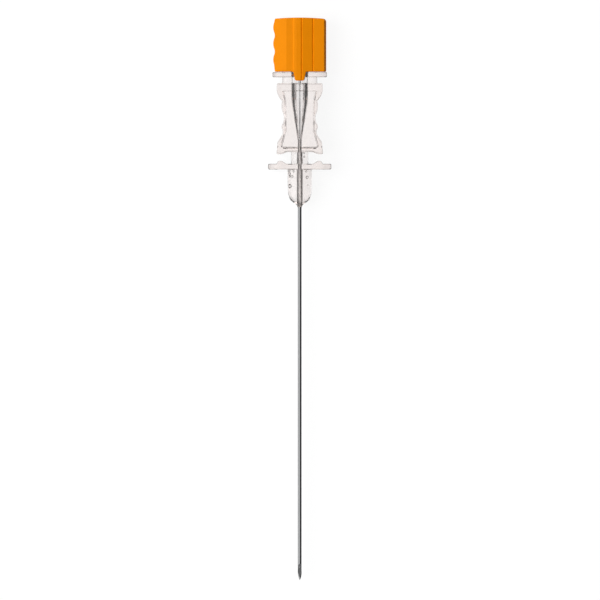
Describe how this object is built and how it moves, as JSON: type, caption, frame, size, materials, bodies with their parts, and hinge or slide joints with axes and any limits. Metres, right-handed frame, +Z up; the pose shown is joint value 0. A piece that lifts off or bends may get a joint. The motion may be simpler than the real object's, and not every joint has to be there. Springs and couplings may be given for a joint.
{
  "type": "spinal needle with stylet",
  "caption": "Spinal needle: long thin steel tube with a lancet bevel, clear winged hub with a tapered socket, and a wire stylet with a keyed orange cap.",
  "frame": {"origin": "middle of the part's box, on the surface that it lies on", "axes": "+Y runs along the needle from its point to its cap, +X across the finger wings, +Z up out of the side with the key slot and the bevel"},
  "size_m": [0.0148, 0.1327, 0.008],
  "materials": {
    "clear_hub": "clear moulded plastic, polished mould",
    "steel": "drawn stainless tube, ground point",
    "orange_cap": "satin moulded plastic",
    "adhesive": "cured clear adhesive"
  },
  "bodies": {
    "needle": {"hub": "clear_hub", "cannula": "steel", "adhesive_bond": "adhesive"},
    "stylet": {"stylet_cap": "orange_cap", "stylet_wire": "steel"}
  },
  "joints": [
    {"name": "stylet_slide", "type": "slide", "parent": "needle", "child": "stylet", "axis": [0, 1, 0], "range_m": [0, 0.122]}
  ]
}
